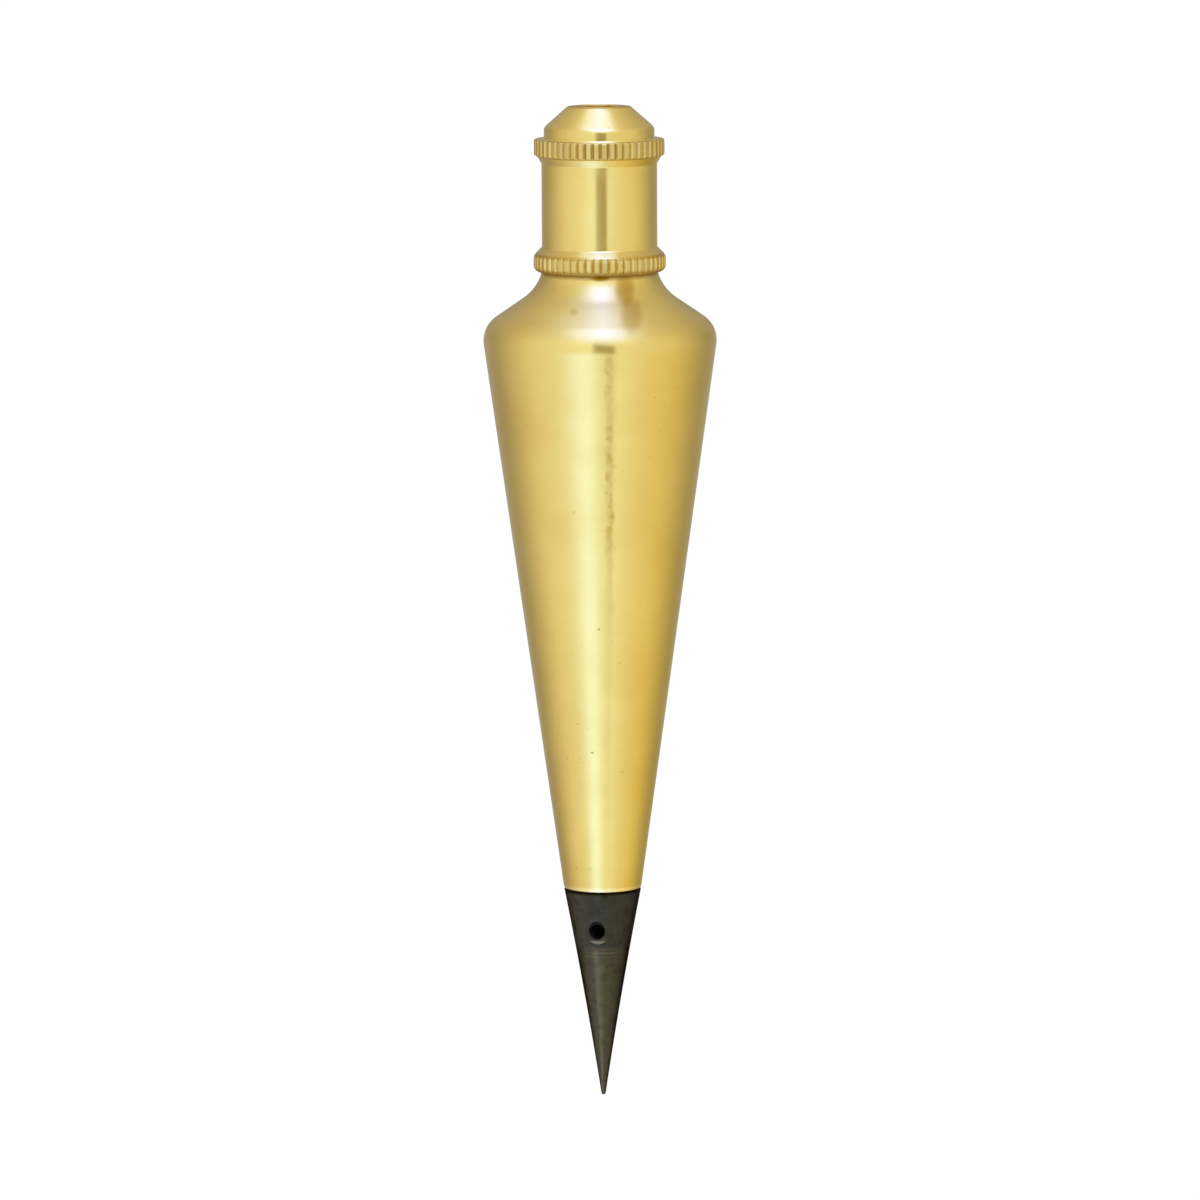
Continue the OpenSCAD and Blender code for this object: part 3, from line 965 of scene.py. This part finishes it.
# %% Steel material
def make_steel():
    """Blackened, oiled steel."""
    material, tree = new_material("blackened_steel")
    place, *turned = turned_coordinates(tree)
    radius, level, cosine, sine = turned
    facing, aside = facing_and_aside(turned)
    grime = grime_and_shade_of(tree)
    fine = lathe_lines(tree, turned, lines_per_mm=6.0, drift=0.4)
    clouds = cloudy(tree, place, size_mm=5)
    blotches = cloudy(tree, place, size_mm=1.6)

    above = level - COLLAR_END_Z
    collar = (above + COLLAR_WAVE * (clouds - 0.5)).between(-0.9, 0.9)
    colour = (clouds.between(0.3, 0.7) * 0.7 + fine * 0.3).clamp().blend(OXIDE, OXIDE_BROWN)
    colour = (0 - above).between(*GREEN_FROM).blend(colour, OXIDE_GREEN)
    # A lighter brown stripe down the front: a painted highlight where the low streak reflects. The stripe
    # that faces the camera makes it warmer.
    colour = (0 - sine).between(0.95, 1.0).blend(colour, OXIDE_STREAK_HIGHLIGHT)
    colour = (facing.between(0.97, 1.0) * 0.6).blend(colour, OXIDE_FACING)
    colour = collar.blend(colour, OXIDE_THICK)
    # The left edge is painted paler and the right cooler: painted reflections at the sides. The pale blotches
    # further down are random tone.
    side = aside / radius
    colour = (0 - side).between(*SIDE_FADE).blend(colour, OXIDE_PALE_AND_SHEEN)
    colour = side.between(*SIDE_FADE).blend(colour, OXIDE_COOL_SHEEN)
    colour = (blotches.between(0.48, 0.65) * 0.4).blend(colour, OXIDE_DARK)
    colour = ((1 - blotches).between(0.55, 0.7) * 0.3).blend(colour, OXIDE_PALE_AND_SHEEN)

    scratches = fine.between(0.6, 0.7) * above.within(*SCRATCHED)
    # The crescent under the hole is a painted glint on the countersink's lower lip. The scratches are real
    # wear.
    drop = pin_hole_z - level
    reach = ((cosine * radius) ** 2 + drop * drop) ** 0.5
    crescent_glint = reach.within(*CRESCENT_GLINT) * drop.between(*CRESCENT_GLINT_DROP)
    colour = (scratches * 0.45 + crescent_glint * 0.8).clamp().blend(colour, BARE_STEEL_AND_GLINT)
    # The dark line at the joint is painted shade of the gap to the brass. The blot is a dark mark there.
    joint_shade = (level - end_z + JOINT).between(-0.1, JOINT / 2)
    blot = marked(aside, level, JOINT_BLOT) * facing.between(0, FRONT_FADE)
    colour = (joint_shade + blot).clamp().blend(colour, JOINT_DARK)
    # The bore and the seat next to the brass are painted dark: shade in the hole and at the joint.
    colour = grime.blend(colour, HOLE_AND_SEAT_SHADE)
    roughness = 0.24 + 0.1 * fine + 0.1 * clouds.between(0.4, 0.7) + 0.6 * grime + 0.2 * collar
    glance = {"Specular Tint": STEEL_GLANCE}
    finish_material(tree, metal_shader(tree, colour, roughness, fine, bump=0.15, grain=0.4, extra=glance))
    return material


steel = make_steel()
print(f"{steel.name}: {len(steel.node_tree.nodes)} nodes")

# %% Give each piece its metal
for piece, material, slot in ((body, brass, "brass"), (cap, brass, "brass"), (tip, steel, "black_steel")):
    piece.data.materials.append(material)
    print(piece.name, "is", material.name)


# %% [markdown]
# ## Floor, sky and camera
#
# The floor and the sky are plain white. A floor that only took light would look grey, so part of what the
# camera and the metal see of it is its own white, and the rest is lit, which keeps a shadow. The camera
# stands where the photographer stood: far away with a long lens, slightly above the bob.

# %% Floor and sky
FLOOR_Z = -1.15
FLOOR_SIZE = 40.0
FLOOR_WHITE = (0.95, 0.95, 0.95, 1)
FLOOR_OWN_SHARE = 0.6
SKY_LIGHT = 1.1
WHITE = (1, 1, 1, 1)
SEEN_BY = ("Is Camera Ray", "Is Glossy Ray", "Is Transmission Ray")


def sees_background(tree):
    """1 for rays from the camera or sent on by metal or glass, else 0."""
    path = tree.node("ShaderNodeLightPath").socket.node
    camera, glossy, through = (Wire(tree.tree, path.outputs[name]) for name in SEEN_BY)
    return (camera + glossy + through).clamp()


def make_floor():
    """A large white floor that still takes the object's shadow."""
    mesh = bpy.data.meshes.new("floor")
    half = FLOOR_SIZE / 2
    corners = [(x * half, y * half, FLOOR_Z) for x, y in ((-1, -1), (1, -1), (1, 1), (-1, 1))]
    mesh.from_pydata(corners, [], [(0, 1, 2, 3)])
    material, tree = new_material("white_floor")
    matt = tree.node("ShaderNodeBsdfDiffuse", {}, {"Color": FLOOR_WHITE})
    white = tree.node("ShaderNodeEmission", {}, {"Color": WHITE})
    share = sees_background(tree) * FLOOR_OWN_SHARE
    finish_material(tree, tree.node("ShaderNodeMixShader", {}, {0: share, 1: matt, 2: white}))
    mesh.materials.append(material)
    floor = put("floor", mesh)


def make_sky():
    """A plain white surround. Its light is slightly stronger than the white that is seen."""
    world = bpy.data.worlds.new("white_surround")
    bpy.context.scene.world = world
    world.use_nodes = True
    world.node_tree.nodes.clear()
    tree = Wire(world.node_tree)
    strength = SKY_LIGHT - (SKY_LIGHT - 1) * sees_background(tree)
    sky = tree.node("ShaderNodeBackground", {}, {"Color": WHITE, "Strength": strength})
    tree.node("ShaderNodeOutputWorld", {}, {"Surface": sky})


make_floor()
make_sky()
print(f"floor: {FLOOR_SIZE:.0f} m square, {-FLOOR_Z:.2f} m down")

# %% Camera at the photograph's angle
CAMERA_ELEVATION = np.radians(7.65)
CAMERA_DISTANCE = 1.266
HALF_VIEW = np.radians(4.2)
SENSOR = 36.0
ROLL = np.radians(-0.27)
AIM_BELOW_TOP = 76.55
SHIFT_PIXELS = -1.3
IMAGE_PIXELS = 1200

aim = Vector((0, 0, (cap_top_z - AIM_BELOW_TOP) * MM))
flat = np.cos(CAMERA_ELEVATION)
toward = Vector((np.sin(FRONT) * flat, -np.cos(FRONT) * flat, np.sin(CAMERA_ELEVATION)))
lens = bpy.data.cameras.new("camera")
lens.sensor_width = SENSOR
lens.lens = SENSOR / 2 / np.tan(HALF_VIEW)
lens.shift_x = SHIFT_PIXELS / IMAGE_PIXELS
camera = put("camera", lens)
camera.matrix_world = (
    Matrix.Translation(aim + toward * CAMERA_DISTANCE)
    @ toward.to_track_quat("Z", "Y").to_matrix().to_4x4()
    @ Matrix.Rotation(ROLL, 4, "Z")
)
bpy.context.scene.camera = camera
bpy.context.scene.view_settings.view_transform = "Standard"
print(f"lens {lens.lens:.0f} mm at {CAMERA_DISTANCE:.2f} m")

# %% [markdown]
# ## A paper tent
#
# Polished metal shows what stands round it, so the studio is part of the look. Area lamps could do it, but
# a polished curve mirrors each as a hard-edged box. Here one paper tent goes all the way round and overhead,
# and a formula gives its glow in every direction, with edges as soft as needed.
#
# The paper is white in front and shades to grey behind, which gives the bob its darker edges. A softbox
# behind it overhead gives the white patches, a long lamp low in front gives the streak on the taper, and a
# dark card gives the dark line on the upright faces. Only metal sees the tent.

# %% Soft edges and directions
def smooth(low, high, value):
    """0 below low, 1 above high, and a smooth S between: three times the square less twice the cube."""
    share = np.clip((value - low) / (high - low), 0, 1)
    return share * share * (3 - 2 * share)


def plateau(value, low, full, full_end, end):
    """0 outside low and end, 1 from full to full_end, and a smooth S on each side."""
    return smooth(low, full, value) * (1 - smooth(full_end, end, value))


def bell(value, middle, width):
    """A soft bump: 1 at the middle, falling away like a bell curve."""
    return np.exp(-0.5 * ((value - middle) / width) ** 2)


def direction(azimuth, elevation):
    """Unit vectors from the aim, in degrees. Azimuth 0 is towards the camera, and 90 is to its right."""
    turn = FRONT + np.radians(azimuth)
    rise = np.radians(elevation)
    parts = np.sin(turn) * np.cos(rise), -np.cos(turn) * np.cos(rise), np.sin(rise)
    return np.stack(np.broadcast_arrays(*parts), axis=-1)


def pitch_and_right(azimuth, elevation):
    """A direction's pitch, 0 towards the camera and 90 straight up, and how far it lies to the right."""
    rise = np.radians(elevation)
    ahead = np.cos(rise) * np.cos(np.radians(azimuth))
    right = np.cos(rise) * np.sin(np.radians(azimuth))
    return np.degrees(np.arctan2(np.sin(rise), ahead)), right


# %% Glow of the paper
# Tables of elevation and amount, ranges of azimuth, and losses and gains of red, green and blue
SHADE = ([0, 10, 50, 75], [0.55, 0.6, 0.25, 0])
SHADE_FROM = (62, 142)
WARM = ([-23, -7, 50, 75], [1.15, 0.45, 0.45, 0])
WARM_FROM = (10, 90)
WARM_LOSS = (0, 0.12, 0.52)
STALE = ([50, 75], [1, 0])
STALE_FROM = (45, 115)
STALE_LOSS = (0, 0.06, 0.18)
HUMP = ([-23, -7, 20, 40, 60], [1, 0.6, 0.8, 0.5, 0])
HUMP_MIDDLE = -5
HUMP_WIDTH = 29
HUMP_GAIN = (0.22, 0.4, 0.52)


def paper_glow(azimuth, elevation):
    """Colour of the paper: grey behind, warm to the right, yellowed to the left, and a soft hump in front."""
    level = 1 - np.interp(elevation, *SHADE) * smooth(*SHADE_FROM, np.abs(azimuth))
    warm = smooth(*WARM_FROM, azimuth) * np.interp(elevation, *WARM)
    stale = smooth(*STALE_FROM, -azimuth) * np.interp(elevation, *STALE)
    tint = 1 - warm[..., None] * WARM_LOSS - stale[..., None] * STALE_LOSS
    hump = bell(azimuth, HUMP_MIDDLE, HUMP_WIDTH) * np.interp(elevation, *HUMP)
    return level[..., None] * tint + hump[..., None] * HUMP_GAIN


# %% Lamps behind the paper
# Tables of pitch and amount
SOFTBOX = ([27, 41, 55, 64, 71, 77, 80, 84, 88, 100, 125],
           [0, 0.1, 0.16, 0.6, 1.85, 1.8, 0.12, 0.12, 0.16, 0.16, 0])
SOFTBOX_WIDTH = ([45, 66, 77], [0.26, 0.17, 0.18])
STREAK = ([-69, -40], [1.7, 1])
STREAK_MIDDLE = ([-69, -25], [-0.17, -0.31])

SOFTBOX_MIDDLE = 0.03
SOFTBOX_EVEN = (-0.4, -0.2, 0.2, 0.31)
SOFTBOX_EVEN_FROM = (77, 80)
SOFTBOX_POWER = 0.7
SOFTBOX_WARM = (1.3, 2.4, 0)
SOFTBOX_BLUE = (0, 0, 13.5)
STREAK_WIDTH = 0.17
STREAK_BELOW = (8, 20)
STREAK_FROM = (-100, -85)
STREAK_GAIN = (0.1, 0.38, 1.5)


def lamp_glow(azimuth, elevation):
    """Light through the paper: a softbox overhead, even at its far end, and a long streak low in front.

    The brass takes most of the blue out of a reflection, so a lamp that is to look white in it is blue.
    """
    pitch, right = pitch_and_right(azimuth, elevation)
    soft = bell(right, SOFTBOX_MIDDLE, np.interp(pitch, *SOFTBOX_WIDTH))
    even = plateau(right, *SOFTBOX_EVEN)
    across = soft + (even - soft) * smooth(*SOFTBOX_EVEN_FROM, pitch)
    box = (np.interp(pitch, *SOFTBOX) * across)[..., None]
    streak = bell(right, np.interp(pitch, *STREAK_MIDDLE), STREAK_WIDTH) * np.interp(pitch, *STREAK)
    streak = (streak * smooth(*STREAK_BELOW, -elevation) * smooth(*STREAK_FROM, pitch))[..., None]
    return box ** SOFTBOX_POWER * SOFTBOX_WARM + box * SOFTBOX_BLUE + streak * STREAK_GAIN


# %% A dark card
CARD_GREY = np.array([0.47, 0.43, 0.26])
CARD_MIDDLE = 4
CARD_LEAN = 0.6
CARD_ACROSS = (-9, -4, 12, 17)
CARD_ALONG = (-17, -8, 18, 32)


def card_share(azimuth, elevation):
    """1 on the dark card, 0 beside it, soft at its edges. The card's ends lean to the right."""
    leaning = elevation + CARD_LEAN * (azimuth - CARD_MIDDLE)
    return plateau(azimuth, *CARD_ACROSS) * plateau(leaning, *CARD_ALONG)


# %% Put up the tent
TENT_FOOT = -80
TENT_GRID = (86, 181)

# A part of a sphere, a metre from the aim, with a colour for each point
around = np.meshgrid(np.linspace(-180, 180, TENT_GRID[1]), np.linspace(TENT_FOOT, 90, TENT_GRID[0]))
glow = paper_glow(*around) + lamp_glow(*around)
glow = glow + card_share(*around)[..., None] * (CARD_GREY - glow)
points = np.array(aim) + direction(*around)
corner = np.arange(glow[..., 0].size).reshape(TENT_GRID)
quads = np.stack([corner[:-1, :-1], corner[1:, :-1], corner[1:, 1:], corner[:-1, 1:]], axis=-1)
mesh = bpy.data.meshes.new("paper_tent")
mesh.from_pydata(points.reshape(-1, 3).tolist(), [], quads.reshape(-1, 4).tolist())
layer = mesh.attributes.new("glow", "FLOAT_COLOR", "POINT")
colours = np.concatenate([glow, np.ones((*TENT_GRID, 1))], axis=-1)
layer.data.foreach_set("color", colours.astype(np.float32).ravel())
material, tree = new_material("paper_tent")
colour = tree.node("ShaderNodeAttribute", {"attribute_name": "glow"}, output="Color")
finish_material(tree, tree.node("ShaderNodeEmission", {}, {"Color": colour}))
mesh.materials.append(material)
screen = put("paper_tent", mesh)
screen.visible_camera = False
screen.visible_diffuse = False
screen.visible_shadow = False
print(f"paper tent: {glow.min():.2f} to {glow.max():.2f}")

# %% A lamp for the floor's shadow
LAMP_ELEVATION = 72
LAMP_DISTANCE = 0.95
LAMP_RADIANCE = 1.5

# Metal mirrors the tent, so it doesn't see this lamp
lamp = bpy.data.lights.new("overhead", "AREA")
lamp.shape = "RECTANGLE"
lamp.size = 0.4
lamp.size_y = 1.2
lamp.energy = LAMP_RADIANCE * np.pi * lamp.size * lamp.size_y
light = put("overhead", lamp)
way = Vector(direction(0, LAMP_ELEVATION))
turned = way.to_track_quat("Z", "Y").to_matrix().to_4x4()
light.matrix_world = Matrix.Translation(aim + way * LAMP_DISTANCE) @ turned
light.visible_camera = False
light.visible_glossy = False
print(f"lamp: {lamp.energy:.2f} W")
